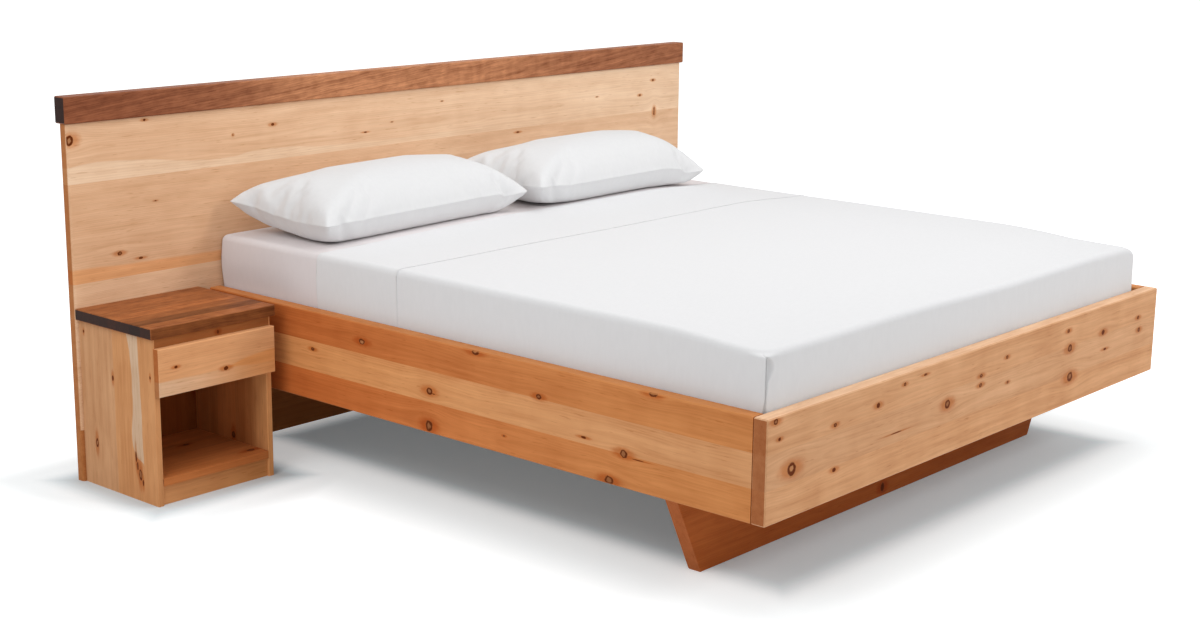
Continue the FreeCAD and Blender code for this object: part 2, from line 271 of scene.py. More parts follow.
def new_group(name, inputs, outputs):
    """An empty shader group with its sockets, and the nodes at its two ends."""
    tree = bpy.data.node_groups.new(name, "ShaderNodeTree")
    for label, kind, default in inputs:
        socket = tree.interface.new_socket(label, in_out="INPUT", socket_type="NodeSocket" + kind)
        if default is not None:
            socket.default_value = default
    for label, kind in outputs:
        tree.interface.new_socket(label, in_out="OUTPUT", socket_type="NodeSocket" + kind)
    nodes = Nodes(tree)
    start = tree.nodes.new("NodeGroupInput").outputs
    end = tree.nodes.new("NodeGroupOutput").inputs
    return tree, nodes, start, end


def knot_group():
    """One knot: where its heart, bark ring and glow lie, and how far it pushes the grain aside."""
    tree, nodes, start, end = new_group(
        "knot",
        [("Along", "Float", 0.0), ("Across", "Float", 0.0), ("Radius", "Float", 0.01),
         ("Stretch", "Float", 1.3), ("Open", "Float", 0.0), ("Push", "Float", 0.0),
         ("Heart", "Float", 0.0), ("Rim", "Float", 0.0), ("Glow", "Float", 0.0)],
        [("Push", "Float"), ("Heart", "Float"), ("Rim", "Float"), ("Glow", "Float")])
    along = nodes.over(nodes.over(start["Along"], start["Stretch"]), start["Radius"])
    across = nodes.over(start["Across"], start["Radius"])
    seed = nodes.times(nodes.times_plus(start["Radius"], 40.0, start["Stretch"]), 17.0)
    ragged = nodes.times_plus(nodes.noise(nodes.combine(along, across, seed), 1.3, 3.0), 0.6, -0.3)
    distance = nodes.plus(nodes.vector("LENGTH", nodes.combine(along, across, 0.0)), ragged)
    heart = nodes.span(distance, 0.78, 1.0, 1.0, 0.0)
    lopsided = nodes.noise(nodes.combine(along, across, nodes.plus(seed, 7.0)), 0.8, 2.0)
    inner = nodes.times_plus(nodes.minus(lopsided, 0.5), 0.9, distance)
    hollow = nodes.times(nodes.span(inner, 0.34, 0.60, 1.0, 0.0), start["Open"])
    rim = nodes.times(heart, nodes.minus(1.0, hollow))
    spread = nodes.vector("LENGTH", nodes.combine(nodes.times(along, 0.5), across, 0.0))
    glow = nodes.span(nodes.plus(spread, ragged), 0.7, 1.9, 1.0, 0.0)
    reach = nodes.math("EXPONENT", nodes.times(nodes.times(spread, spread), -0.16))
    push = nodes.times(nodes.times(start["Across"], reach), -0.8)
    nodes.feed(end["Push"], nodes.plus(start["Push"], push))
    nodes.feed(end["Heart"], nodes.largest(start["Heart"], heart))
    nodes.feed(end["Rim"], nodes.largest(start["Rim"], rim))
    nodes.feed(end["Glow"], nodes.largest(start["Glow"], glow))
    return tree


def grain_group():
    """Growth rings, streaks, fibres and pitch flecks of a sawn board, with the grain along X."""
    tree, nodes, start, end = new_group(
        "board_grain",
        [("Vector", "Vector", None), ("Color", "Color", None), ("Tint", "Vector", (0.30, 0.46, 0.60)),
         ("Ring Width", "Float", 0.004), ("Rings", "Float", 0.3), ("Streaks", "Float", 0.5),
         ("Fibres", "Float", 0.14), ("Flecks", "Float", 0.5), ("Wander", "Float", 0.02)],
        [("Color", "Color"), ("Roughness", "Float"), ("Height", "Float")])

    def drawn_out(vector, along, across, detail, roughness, output="Fac"):
        """Noise that changes less along the grain than across it."""
        finer = nodes.vector("MULTIPLY", vector, (along, across, across))
        return nodes.noise(finer, 1.0, detail, roughness, output)

    x, y, z = nodes.separate(start["Vector"])
    slow = drawn_out(start["Vector"], 1.1, 4.0, 3.0, 0.55, "Color")
    _, drift_y, drift_z = nodes.separate(nodes.vector("SUBTRACT", slow, (0.5, 0.5, 0.5)))
    y_bent = nodes.times_plus(drift_y, start["Wander"], y)
    z_bent = nodes.times_plus(drift_z, start["Wander"], z)
    bent = nodes.combine(x, y_bent, z_bent)
    from_pith = nodes.vector("LENGTH", nodes.combine(0.0, y_bent, z_bent))
    uneven = nodes.noise(nodes.combine(from_pith, 0.0, 0.0), 55.0, 2.0)
    years = nodes.times_plus(uneven, 2.4, nodes.over(from_pith, start["Ring Width"]))
    season = nodes.math("FRACT", years)
    late = nodes.times(nodes.span(season, 0.25, 0.9), nodes.span(season, 0.9, 1.0, 1.0, 0.0))
    bands = nodes.noise(nodes.combine(nodes.times(x, 0.35), from_pith, 0.0), 26.0, 2.0)
    streaks = drawn_out(bent, 1.3, 44.0, 3.0, 0.6)
    flames = drawn_out(bent, 5.5, 75.0, 3.0, 0.6)
    fibres = drawn_out(bent, 9.0, 420.0, 2.0, 0.6)
    flecks = nodes.span(drawn_out(bent, 22.0, 260.0, 1.0, 0.5), 0.66, 0.78)
    broad = nodes.times_plus(nodes.minus(bands, 0.5), 1.2,
                       nodes.times(nodes.minus(streaks, 0.5), 1.7))
    lively = nodes.times_plus(nodes.minus(flames, 0.5), 1.15, broad)
    ringed = nodes.times(nodes.minus(late, 0.38), start["Rings"])
    toned = nodes.times_plus(lively, start["Streaks"], ringed)
    spotted = nodes.times_plus(flecks, start["Flecks"], toned)
    tint = nodes.vector("SUBTRACT", (1.0, 1.0, 1.0), nodes.vector("MULTIPLY", spotted, start["Tint"]))
    fine = nodes.times_plus(nodes.minus(fibres, 0.5), start["Fibres"], 1.0)
    nodes.feed(end["Color"], nodes.scale(nodes.vector("MULTIPLY", start["Color"], tint), fine))
    nodes.feed(end["Roughness"], nodes.times_plus(fibres, 0.16, 0.42))
    nodes.feed(end["Height"], nodes.times_plus(fibres, 0.6, nodes.times(late, -0.3)))
    return tree


def weave_group():
    """Over and under of plain woven cloth, laid on each face from its own side."""
    tree, nodes, start, end = new_group(
        "plain_weave",
        [("Vector", "Vector", None), ("Normal", "Vector", None), ("Spacing", "Float", 0.0006)],
        [("Height", "Float"), ("Tint", "Float")])
    turns = nodes.over(math.pi, start["Spacing"])
    places = nodes.separate(start["Vector"])
    waves = [nodes.math("SINE", nodes.times(place, turns)) for place in places]
    facing = nodes.separate(nodes.vector("MULTIPLY", start["Normal"], start["Normal"]))
    cloth = 0.0
    for number in range(3):
        crossing = nodes.times(waves[(number + 1) % 3], waves[(number + 2) % 3])
        cloth = nodes.times_plus(crossing, facing[number], cloth)
    slubs = nodes.noise(nodes.vector("MULTIPLY", start["Vector"], (90.0, 90.0, 30.0)), 1.0, 3.0)
    nodes.feed(end["Height"], nodes.times_plus(cloth, 0.5, 0.5))
    nodes.feed(end["Tint"], nodes.times_plus(slubs, 0.05, 0.975))
    return tree


def shared(name, maker):
    """The named shader group, made on first use."""
    return bpy.data.node_groups.get(name) or maker()


def bare_material(name):
    """A material with only its shader and output, and its nodes."""
    material = bpy.data.materials.new(name)
    material.use_nodes = True
    nodes = Nodes(material.node_tree)
    shader = material.node_tree.nodes["Principled BSDF"]
    return material, nodes, shader


def opaque(colour):
    """A colour with full alpha."""
    return (colour[0], colour[1], colour[2], 1.0)


# Wood

def wood_tone(level, shade=1.0):
    """The colour of a knotty board, from 0 for cream sapwood to 4 for the reddest heartwood."""
    wood = bpy.context.scene.bed_wood
    swatches = [Vector(wood.cream), Vector(wood.honey), Vector(wood.orange), Vector(wood.amber),
                Vector(wood.russet)]
    step = min(int(level), len(swatches) - 2)
    return opaque(swatches[step].lerp(swatches[step + 1], level - step) * shade)


def board_axes(node_name):
    """The box of a board and the axes along it, across it and through it, as 0, 1 or 2."""
    low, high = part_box(node_name)
    size = high - low
    order = sorted(range(3), key=lambda axis: size[axis], reverse=True)
    return low, high, order


def band_mask(nodes, along, across, box, order, points, softness):
    """One above a line drawn along the board and nought below it."""
    low, high = box
    run, rise = order[0], order[1]
    share = nodes.over(nodes.minus(along, low[run]), high[run] - low[run])
    curve = nodes.add("ShaderNodeFloatCurve", {"Factor": 1.0, "Value": share})
    line = curve.mapping.curves[0]
    line.points[0].location = (0.0, (points[0][1] - low[rise]) / (high[rise] - low[rise]))
    line.points[1].location = (1.0, (points[-1][1] - low[rise]) / (high[rise] - low[rise]))
    for run_at, rise_at in points[1:-1]:
        line.points.new((run_at - low[run]) / (high[run] - low[run]),
                        (rise_at - low[rise]) / (high[rise] - low[rise]))
    curve.mapping.update()
    height = nodes.times_plus(curve.outputs[0], high[rise] - low[rise], low[rise])
    wave = nodes.noise(nodes.combine(nodes.times(along, 9.0), 0.0, 0.0), 1.0, 3.0)
    ragged = nodes.times_plus(wave, 0.010, -0.005)
    above = nodes.minus(nodes.minus(across, height), ragged)
    return nodes.span(above, -softness, softness)


def stave_chance(nodes, across, start, width, seed):
    """A random value for each stave of a board glued up from equal staves."""
    stave = nodes.math("FLOOR", nodes.over(nodes.minus(across, start), width))
    number = nodes.plus(stave, seed)
    return nodes.add("ShaderNodeTexWhiteNoise", {"W": number}, noise_dimensions="1D").outputs["Value"]


def coat_board(node_name, material, nodes, shader, grain, colour, bump, shine):
    """Wires a board's colour, sheen and grain relief to its shader and puts it on the board."""
    path = nodes.add("ShaderNodeLightPath")
    cast = path.outputs["Is Diffuse Ray"]
    calmed = nodes.add("ShaderNodeHueSaturation", {
        "Saturation": nodes.times_plus(cast, CAST_CALM, 1.0),
        "Value": nodes.times_plus(cast, CAST_DIM, 1.0), "Color": colour})
    nodes.feed(shader.inputs["Base Color"], calmed.outputs["Color"])
    nodes.feed(shader.inputs["Roughness"], grain.outputs["Roughness"])
    shader.inputs["Specular IOR Level"].default_value = shine
    relief = nodes.add("ShaderNodeBump", {
        "Height": grain.outputs["Height"], "Strength": bump, "Distance": 0.0006})
    nodes.feed(shader.inputs["Normal"], relief.outputs["Normal"])
    give(node_name, material)


def board_places(nodes, order):
    """Places along, across and through a board, and where its end, edge and broad faces are."""
    place = nodes.add("ShaderNodeTexCoord")
    parts = nodes.separate(place.outputs["Object"])
    facing = nodes.separate(place.outputs["Normal"])
    turned = [nodes.size(facing[axis]) for axis in order]
    faces = [nodes.span(turned[0], 0.75, 0.95), nodes.span(turned[1], 0.6, 0.85),
             nodes.span(turned[2], 0.6, 0.85)]
    return [parts[axis] for axis in order], faces


def finish_board(node_name, tones, seed, knots=(), bands=(), shades=(1.0, 1.0), contrast=0.72, staves=0.0,
                 order=None, end_tint=(0.6, 0.38, 0.23), edge=None):
    """A knotty softwood finish for one board of the frame.

    The tones and shades are those of the board's low and high end.
    Each knot is its place along and across the board, its radius, how far it is drawn out and how much of
    its paler heart shows.
    Each band is a line along the board, the side of it that changes, its new tone and how soft its edge is.
    The edge is a tone and shade for the board's narrow sides, where they differ; on the rails and footboard
    it is a painted highlight that lightens their lit tops.
    """
    wood = bpy.context.scene.bed_wood
    low, high, found = board_axes(node_name)
    order = order or found
    material, nodes, shader = bare_material("softwood_" + node_name)
    (along, across, through), (end_face, edge_face, broad_face) = board_places(nodes, order)
    push, heart, rim, glow = 0.0, 0.0, 0.0, 0.0
    near = [knot for knot in knots
            if low[order[1]] - 2.5 * knot[2] < knot[1] < high[order[1]] + 2.5 * knot[2]]
    for run_at, rise_at, radius, stretch, heart_share in near:
        knot = nodes.place(shared("knot", knot_group), {
            "Along": nodes.minus(along, run_at), "Across": nodes.minus(across, rise_at),
            "Radius": radius, "Stretch": stretch, "Open": heart_share, "Push": push, "Heart": heart,
            "Rim": rim, "Glow": glow})
        push, heart, rim, glow = (knot.outputs[label] for label in ("Push", "Heart", "Rim", "Glow"))
    colour = nodes.mix(nodes.span(along, low[order[0]], high[order[0]]),
                       wood_tone(tones[0], shades[0]), wood_tone(tones[1], shades[1]))
    for points, side, tone, softness in bands:
        mask = band_mask(nodes, along, across, (low, high), order, points, softness)
        if side == "below":
            mask = nodes.minus(1.0, mask)
        colour = nodes.mix(mask, colour, wood_tone(tone, shades[0]))
    # Painted highlight: the narrow sides, the tops of the rails and the footboard, take a lighter tone for
    # the light that falls on them
    if edge:
        colour = nodes.mix(edge_face, colour, wood_tone(*edge))
    run = nodes.plus(along, seed * 3.7)
    if staves:
        chance = stave_chance(nodes, across, low[order[1]] - 0.021, staves, seed)
        run = nodes.times_plus(chance, 7.0, run)
        colour = nodes.scale(colour, nodes.times_plus(chance, 0.24, 0.88))
    pith_across = low[order[1]] + 0.35 * (high[order[1]] - low[order[1]])
    pith_through = low[order[2]] - 0.055
    grain_at = nodes.combine(run, nodes.minus(nodes.plus(across, push), pith_across),
                             nodes.minus(through, pith_through))
    grain = nodes.place(shared("board_grain", grain_group), {
        "Vector": grain_at, "Color": colour, "Ring Width": wood.ring_width, "Rings": 0.17,
        "Streaks": contrast, "Fibres": 0.16, "Wander": 0.03})
    colour = nodes.mix(end_face, grain.outputs["Color"],
                       nodes.vector("MULTIPLY", grain.outputs["Color"], end_tint))
    if near:
        warm = nodes.vector("MULTIPLY", colour, (0.74, 0.42, 0.20))
        for mask, strength, tint in ((glow, 0.75, warm), (heart, 0.8, opaque(wood.knot_heart)),
                                     (rim, 1.0, opaque(wood.knot_rim))):
            shown = nodes.times(nodes.times(mask, broad_face), strength)
            colour = nodes.mix(shown, colour, tint)
    coat_board(node_name, material, nodes, shader, grain, colour, 0.25, SOFTWOOD_SHINE)


def give(node_name, material):
    """Puts a material on a board of the frame."""
    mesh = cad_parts[node_name].data
    mesh.materials.clear()
    mesh.materials.append(material)


def finish_walnut(node_name, seed, shades, tint=(1.0, 1.0, 1.0), staves=0.0, slant=0.0):
    """A dark streaky walnut finish for one board of the frame.

    Each shade is a share of the board's length and how pale the board is made there.
    """
    wood = bpy.context.scene.bed_wood
    low, high, order = board_axes(node_name)
    material, nodes, shader = bare_material("walnut_" + node_name)
    (along, across, through), (end_face, edge_face, _) = board_places(nodes, order)
    run = nodes.plus(along, seed * 2.9)
    ramp = nodes.add("ShaderNodeValToRGB", {"Fac": nodes.span(along, low[order[0]], high[order[0]])})
    stops = ramp.color_ramp.elements
    while len(stops) < len(shades):
        stops.new(1.0)
    for stop, (share, shade) in zip(stops, shades):
        stop.position = share
        tone = Vector(wood.walnut).lerp(Vector(wood.walnut_pale), shade)
        stop.color = opaque([tone[part] * tint[part] for part in range(3)])
    colour = ramp.outputs["Color"]
    if staves:
        chance = stave_chance(nodes, across, low[order[1]], staves, seed)
        run = nodes.times_plus(chance, 9.0, run)
        colour = nodes.scale(colour, nodes.times_plus(chance, 0.75, 0.66))
    climbing = nodes.times_plus(along, -slant, across)
    from_pith = nodes.combine(run, nodes.minus(climbing, low[order[1]] - 0.01),
                              nodes.minus(through, low[order[2]] - 0.04))
    grain = nodes.place(shared("board_grain", grain_group), {
        "Vector": nodes.vector("MULTIPLY", from_pith, (2.6, 1.7, 1.7)), "Color": colour,
        "Tint": (0.55, 0.68, 0.74), "Ring Width": 0.011, "Rings": 0.30, "Streaks": 1.15, "Fibres": 0.5,
        "Wander": 0.05})
    ended = nodes.vector("MULTIPLY", grain.outputs["Color"], wood.walnut_end)
    colour = nodes.mix(end_face, grain.outputs["Color"], ended)
    if staves:
        colour = nodes.mix(edge_face, colour, nodes.vector("MULTIPLY", colour, (0.52, 0.48, 0.42)))
    coat_board(node_name, material, nodes, shader, grain, colour, 0.3, WALNUT_SHINE)


# Knots, as metres along and across the boards, radius, how far each is drawn out and its open heart

HEADBOARD_KNOTS = (
    (-1.342, 0.989, 0.0165, 0.78, 0.7), (-1.092, 1.026, 0.0036, 1.5, 0.0), (-0.626, 0.972, 0.0048, 1.4, 0.1),
    (-0.778, 0.954, 0.004, 0.6, 0.9), (-1.195, 0.650, 0.0065, 1.4, 0.3), (-1.124, 0.627, 0.0035, 2.4, 0.1),
    (-1.065, 0.788, 0.002, 2.0, 0.2), (-0.250, 0.914, 0.0024, 3.2, 0.0), (-0.135, 0.937, 0.0018, 1.8, 0.0),
    (0.457, 0.850, 0.0036, 2.2, 0.2), (1.190, 0.980, 0.0048, 1.3, 0.3), (1.115, 0.929, 0.0045, 1.3, 0.3),
    (0.091, 0.987, 0.002, 1.8, 0.1), (0.873, 0.941, 0.0022, 2.0, 0.1), (0.30, 0.46, 0.012, 1.4, 0.6),
    (-0.45, 0.24, 0.015, 1.3, 0.6), (1.20, 0.862, 0.018, 0.28, 0.9))
FOOTBOARD_KNOTS = (
    (-0.781, 0.362, 0.0185, 1.0, 0.9), (-0.082, 0.378, 0.014, 1.0, 0.5), (-0.416, 0.443, 0.0075, 1.2, 0.0),
    (0.599, 0.322, 0.0155, 1.1, 0.5), (0.588, 0.409, 0.0125, 1.1, 0.4), (0.573, 0.463, 0.0065, 1.3, 0.3),
    (0.792, 0.421, 0.0085, 1.3, 0.0), (0.811, 0.367, 0.004, 2.6, 0.0), (1.021, 0.428, 0.006, 1.4, 0.3),
    (1.032, 0.388, 0.0075, 1.2, 0.3), (0.087, 0.423, 0.0055, 1.6, 0.3), (0.086, 0.397, 0.0065, 1.4, 0.3),
    (0.223, 0.450, 0.0055, 1.3, 0.4), (0.233, 0.377, 0.0045, 1.3, 0.3), (-0.604, 0.432, 0.006, 1.3, 0.3),
    (-0.602, 0.318, 0.0065, 1.3, 0.0), (-0.833, 0.446, 0.005, 1.2, 0.0), (-0.850, 0.492, 0.008, 1.2, 0.5),
    (-0.296, 0.474, 0.005, 1.3, 0.3), (-0.199, 0.481, 0.0035, 2.5, 0.1), (-0.327, 0.353, 0.0018, 16.0, 0.0))
LEFT_RAIL_KNOTS = (
    (0.338, 0.450, 0.009, 1.5, 0.8), (-0.109, 0.499, 0.010, 1.5, 0.7), (-0.338, 0.420, 0.008, 1.3, 0.4),
    (0.067, 0.358, 0.0115, 1.1, 0.6), (0.070, 0.260, 0.017, 0.85, 0.5), (-0.493, 0.344, 0.0035, 2.8, 0.0),
    (-0.627, 0.329, 0.0115, 1.2, 0.5), (-0.579, 0.250, 0.0125, 1.2, 0.5), (-0.717, 0.500, 0.009, 1.6, 0.4),
    (-0.214, 0.290, 0.003, 1.3, 0.6), (-0.672, 0.322, 0.0015, 14.0, 0.0), (0.052, 0.353, 0.0014, 6.0, 0.0),
    (0.55, 0.392, 0.0055, 1.5, 0.3))
RIGHT_RAIL_KNOTS = (
    (0.61, 0.440, 0.011, 1.3, 0.5), (-0.22, 0.372, 0.013, 1.2, 0.6), (-0.70, 0.290, 0.010, 1.4, 0.4),
    (0.18, 0.276, 0.014, 1.2, 0.7), (0.33, 0.470, 0.006, 1.6, 0.0), (-0.48, 0.452, 0.008, 1.3, 0.2))
LEG_KNOTS = (
    (0.127, 0.027, 0.015, 0.7, 0.0), (-0.42, 0.210, 0.014, 1.2, 0.5), (0.66, 0.130, 0.011, 1.3, 0.3))
CABINET_SIDE_KNOTS = (
    (0.336, 0.866, 0.005, 1.8, 0.0), (0.449, 0.999, 0.0035, 1.4, 0.0), (0.369, 0.689, 0.0035, 1.5, 0.0),
    (0.126, 0.771, 0.004, 4.5, 0.0), (0.100, 0.765, 0.0045, 3.0, 0.2), (0.077, 0.753, 0.0085, 2.0, 0.5),
    (0.056, 0.742, 0.004, 2.6, 0.0), (0.128, 0.958, 0.007, 2.2, 0.8))
DRAWER_KNOTS = ((-1.283, 0.396, 0.0045, 1.4, 0.0), (-1.114, 0.361, 0.0065, 1.4, 0.0))
SHELF_KNOTS = ((-1.084, 0.895, 0.007, 1.6, 0.2), (-0.985, 0.716, 0.009, 1.8, 0.2))


class BED_OT_finish_headboard(bpy.types.Operator):
    """Finishes the boards and the walnut cap of the headboard"""

    bl_idname = "bed.finish_headboard"
    bl_label = "Finish headboard"

    def execute(self, context):
        cream_line = [(-1.353, 0.912), (-1.231, 0.920), (-1.125, 0.914), (-0.905, 0.891), (-0.81, 0.887),
                      (-0.67, 0.901), (-0.40, 0.886), (0.30, 0.884), (0.75, 0.880), (1.353, 0.866)]
        wedge_line = [(-1.353, 0.622), (-1.09, 0.614), (-0.856, 0.611), (0.2, 0.60), (1.353, 0.63)]
        # The lowest board has a dark russet tone, partly painted shade for its front in the shadow under the
        # bed; its end face is not darkened as end grain
        finish_board("headboard_board_1", (3.2, 3.2), 1.3, HEADBOARD_KNOTS, shades=(0.75, 0.75),
                     end_tint=(1.03, 1.06, 1.1))
        finish_board("headboard_board_2", (0.9, 0.7), 2.7, HEADBOARD_KNOTS)
        finish_board("headboard_board_3", (0.75, 0.5), 3.1, HEADBOARD_KNOTS, shades=(1.02, 1.0),
                     contrast=0.52)
        finish_board("headboard_board_4", (0.9, 0.55), 4.9, HEADBOARD_KNOTS,
                     [(wedge_line, "below", 1.6, 0.005)], contrast=0.52)
        finish_board("headboard_board_5", (0.82, 0.27), 5.6, HEADBOARD_KNOTS,
                     [(cream_line, "below", 0.3, 0.003)], contrast=0.52)
        # The cap is made pale through its middle and darkest at its left end
        cap_shades = ((0.0, 0.03), (0.12, 0.22), (0.24, 0.82), (0.7, 0.78), (0.9, 0.3))
        finish_walnut("headboard_cap", 1.0, cap_shades, slant=0.10)
        return {"FINISHED"}


class BED_OT_finish_rails(bpy.types.Operator):
    """Finishes the glued strips of both side rails"""

    bl_idname = "bed.finish_rails"
    bl_label = "Finish rails"

    def execute(self, context):
        strips = {"lower": ((2.72, 4.0), (0.98, 1.25)), "middle": ((1.62, 2.15), (0.87, 1.0)),
                  "upper": ((2.82, 3.95), (0.98, 1.13))}
        for side, knots, seed in (("left", LEFT_RAIL_KNOTS, 11.0), ("right", RIGHT_RAIL_KNOTS, 17.0)):
            for number, (strip, (tones, shades)) in enumerate(strips.items()):
                # The edge tone is a painted highlight on the lit tops of the strips
                finish_board(f"rail_{side}_{strip}", tones, seed + 1.9 * number, knots, shades=shades,
                             edge=(2.75, 1.0))
        return {"FINISHED"}


class BED_OT_finish_footboard(bpy.types.Operator):
    """Finishes the glued strips of the footboard"""

    bl_idname = "bed.finish_footboard"
    bl_label = "Finish footboard"

    def execute(self, context):
        for number, (strip, tone) in enumerate((("lower", 1.4), ("middle", 1.25), ("upper", 1.35))):
            # The edge tone is a painted highlight, a paler top where the light falls
            finish_board(f"footboard_{strip}", (tone, tone), 23.0 + 2.3 * number, FOOTBOARD_KNOTS,
                         shades=(0.88, 0.88), end_tint=(0.6, 0.4, 0.29), edge=(0.7, 1.1))
        return {"FINISHED"}


class BED_OT_finish_leg_board(bpy.types.Operator):
    """Finishes the slanted leg board under the foot"""

    bl_idname = "bed.finish_leg_board"
    bl_label = "Finish leg board"

    def execute(self, context):
        finish_board("leg_board", (3.95, 3.95), 31.0, LEG_KNOTS, shades=(1.05, 0.82),
                     end_tint=(1.06, 1.25, 1.8))
        return {"FINISHED"}


class BED_OT_finish_base(bpy.types.Operator):
    """Finishes the hidden slatted base and its supports"""

    bl_idname = "bed.finish_base"
    bl_label = "Finish slatted base"

    def execute(self, context):
        names = [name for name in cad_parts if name.startswith(("slat_", "ledger_", "leg_cleat"))]
        names += ["centre_beam", "centre_leg"]
        for number, name in enumerate(sorted(names)):
            tone = 0.8 + 0.25 * (number % 3)
            finish_board(name, (tone, tone), 41.0 + 1.7 * number)
        steel = speckled_finish("zinc_steel", 160.0, 3.0, 0.46, 0.66, (0.25, 0.25), 0.01)
        steel.node_tree.nodes["Principled BSDF"].inputs["Metallic"].default_value = 1.0
        for name in ("beam_hangers", "corner_brackets"):
            give(name, steel)
        give("centre_leg_glide", speckled_finish("moulded_glide", 1400.0, 2.0, 0.10, 0.16, (0.2, 0.45)))
        return {"FINISHED"}


class BED_OT_finish_cabinet(bpy.types.Operator):
    """Finishes the bedside cabinet and its walnut top"""

    bl_idname = "bed.finish_cabinet"
    bl_label = "Finish cabinet"

    def execute(self, context):
        upright = [2, 1, 0]
        level = [0, 1, 2]
        pale_edge = [(0.0, 0.733), (0.14, 0.735), (0.30, 0.738), (0.48, 0.743)]
        pale_back = [(0.0, 0.733), (0.11, 0.736), (0.13, 0.772), (0.30, 0.776), (0.40, 0.778), (0.48, 0.794)]
        glue_line = [(0.0, 0.861), (0.24, 0.8612), (0.48, 0.861)]
        finish_board("cabinet_side_left", (1.75, 1.75), 61.0, CABINET_SIDE_KNOTS,
                     [(pale_edge, "above", 0.35, 0.0015), (pale_back, "above", 1.75, 0.0015),
                      (glue_line, "above", 1.4, 0.0008)], shades=(0.80, 0.80), order=upright)
        # Painted light inside the niche: the right side's inner face is paler and more orange towards the
        # open front, where the light comes in, and deep red further in
        painted_light_front_line = [(0.0, 0.735), (0.24, 0.735), (0.48, 0.735)]
        finish_board("cabinet_side_right", (3.4, 3.4), 63.0, ((0.094, 0.834, 0.009, 1.3, 0.2),),
                     [(painted_light_front_line, "below", 1.9, 0.05)], shades=(1.0, 1.0), staves=0.085, order=upright)
        # Painted shade: the back of the niche is a dark deep red for the shadow that fills the niche
        finish_board("cabinet_back", (4.0, 4.0), 65.0, ((0.235, -0.962, 0.010, 2.4, 0.0),),
                     shades=(0.58, 0.58), staves=0.09, order=[2, 0, 1])
        finish_board("cabinet_shelf", (3.5, 3.5), 67.0, SHELF_KNOTS, shades=(1.02, 1.02), staves=0.09,
                     order=level)
        finish_board("cabinet_divider", (1.8, 1.8), 69.0, shades=(0.8, 0.8), staves=0.09, order=level)
        finish_board("cabinet_kickboard", (1.8, 2.2), 71.0, shades=(0.84, 0.77))
        # The top rail is darker wood, and darker still as painted shade for the shadow under the overhanging
        # top
        finish_board("cabinet_top_rail", (3.3, 3.3), 73.0, ((-1.121, 0.464, 0.007, 0.7, 0.0),),
                     shades=(0.64, 0.64), order=[0, 2, 1])
        finish_board("drawer_kickers", (1.1, 1.1), 75.0)
        finish_walnut("cabinet_top", 3.0, ((0.0, 0.3), (1.0, 0.3)), (0.87, 0.77, 0.53), staves=0.05)
        return {"FINISHED"}


class BED_OT_finish_drawer(bpy.types.Operator):
    """Finishes the drawer"""

    bl_idname = "bed.finish_drawer"
    bl_label = "Finish drawer"

    def execute(self, context):
        flame_low = [(-1.34, 0.362), (-1.12, 0.362), (-1.02, 0.354), (-0.938, 0.352)]
        flame_high = [(-1.34, 0.362), (-1.12, 0.364), (-1.02, 0.382), (-0.938, 0.390)]
        finish_board("drawer_front", (0.75, 1.85), 81.0, DRAWER_KNOTS,
                     [(flame_low, "above", 2.1, 0.004), (flame_high, "above", 1.55, 0.004)],
                     shades=(0.95, 0.94), contrast=0.5)
        for number, name in enumerate(("side_left", "side_right", "back", "bottom", "stop")):
            finish_board("drawer_" + name, (0.9, 0.9), 83.0 + 1.3 * number)
        return {"FINISHED"}


# Metal and plastic

def speckled_finish(name, scale, detail, dark, pale, roughness, cold=0.0):
    """A grey that varies with a fine speckle in its shade and its roughness, and may lean to blue."""
    material, nodes, shader = bare_material(name)
    speckle = nodes.noise(nodes.add("ShaderNodeTexCoord").outputs["Object"], scale, detail)
    greys = [opaque([level, level + cold, level + 2 * cold]) for level in (dark, pale)]
    nodes.feed(shader.inputs["Base Color"], nodes.mix(speckle, *greys))
    nodes.feed(shader.inputs["Roughness"], nodes.times_plus(speckle, *roughness))
    return material


# Bedding

def cloth_finish(name, colour, crease):
    """Plain woven cotton with its weave and a few soft creases."""
    material, nodes, shader = bare_material(name)
    linen = bpy.context.scene.bed_linen
    place = nodes.add("ShaderNodeTexCoord")
    weave = nodes.place(shared("plain_weave", weave_group), {
        "Vector": place.outputs["Object"], "Normal": place.outputs["Normal"],
        "Spacing": linen.thread_spacing})
    nodes.feed(shader.inputs["Base Color"], nodes.scale(colour, weave.outputs["Tint"]))
    soft = nodes.noise(nodes.vector("MULTIPLY", place.outputs["Object"], (9.0, 9.0, 6.0)), 1.0, 3.0, 0.5)
    broad = nodes.add("ShaderNodeBump", {"Height": soft, "Strength": 0.5, "Distance": crease})
    fine = nodes.add("ShaderNodeBump", {
        "Height": weave.outputs["Height"], "Strength": 0.12, "Distance": 0.0003,
        "Normal": broad.outputs["Normal"]})
    nodes.feed(shader.inputs["Normal"], fine.outputs["Normal"])
    shader.inputs["Roughness"].default_value = 0.85
    shader.inputs["Specular IOR Level"].default_value = 0.2
    shader.inputs["Sheen Weight"].default_value = 0.12
    shader.inputs["Sheen Roughness"].default_value = 0.5
    return material


def new_piece(name, bm, material, smooth=True):
    """A new object at the origin from a bmesh, which is freed."""
    mesh = bpy.data.meshes.new(name)
    bm.to_mesh(mesh)
    bm.free()
    piece = bpy.data.objects.new(name, mesh)
    bpy.context.scene.collection.objects.link(piece)
    if material:
        mesh.materials.append(material)
    if smooth:
        mesh.shade_smooth()
    return piece


